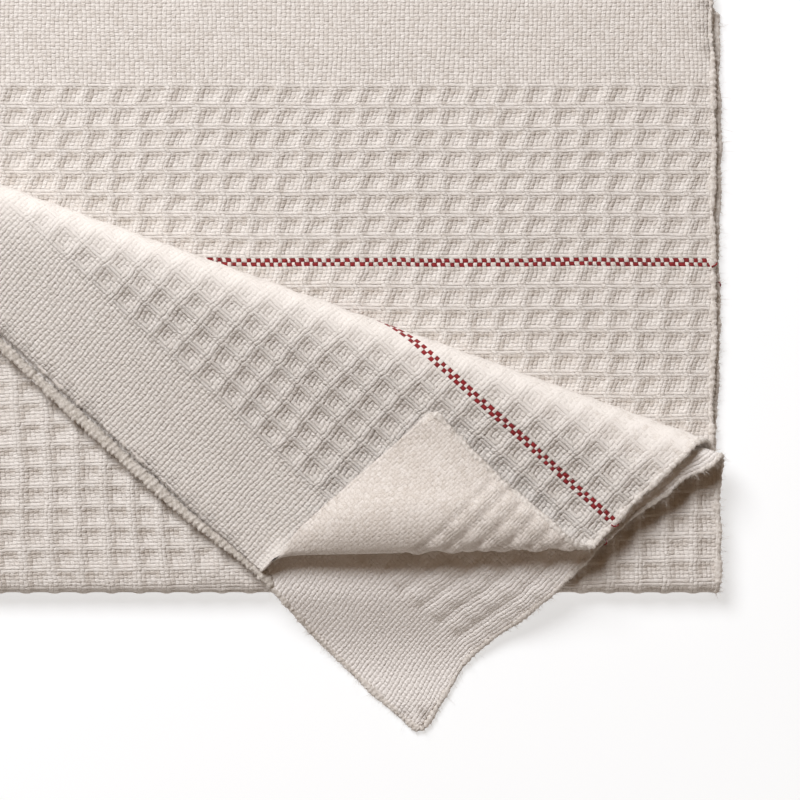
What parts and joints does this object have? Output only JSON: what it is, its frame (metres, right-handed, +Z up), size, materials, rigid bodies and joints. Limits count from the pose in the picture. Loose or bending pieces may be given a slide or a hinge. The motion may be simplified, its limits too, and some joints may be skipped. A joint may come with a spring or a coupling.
{
  "type": "folded floor cloth",
  "caption": "Waffle-weave cotton floor cloth with a woven red line near each end, folded in quarters with one corner turned up in a roll.",
  "frame": {"origin": "middle of the folded cloth's bounding box, on the surface that it lies on", "axes": "+Z up, +X along the fold across the cloth's length towards its selvages, +Y from that fold towards the layers' free ends"},
  "size_m": [0.3832, 0.3196, 0.04],
  "materials": {
    "cloth": "undyed waffle-weave cotton, matt and slightly fuzzy, with a woven red line"
  },
  "bodies": {
    "root": {"floor_cloth": "cloth"}
  },
  "joints": []
}
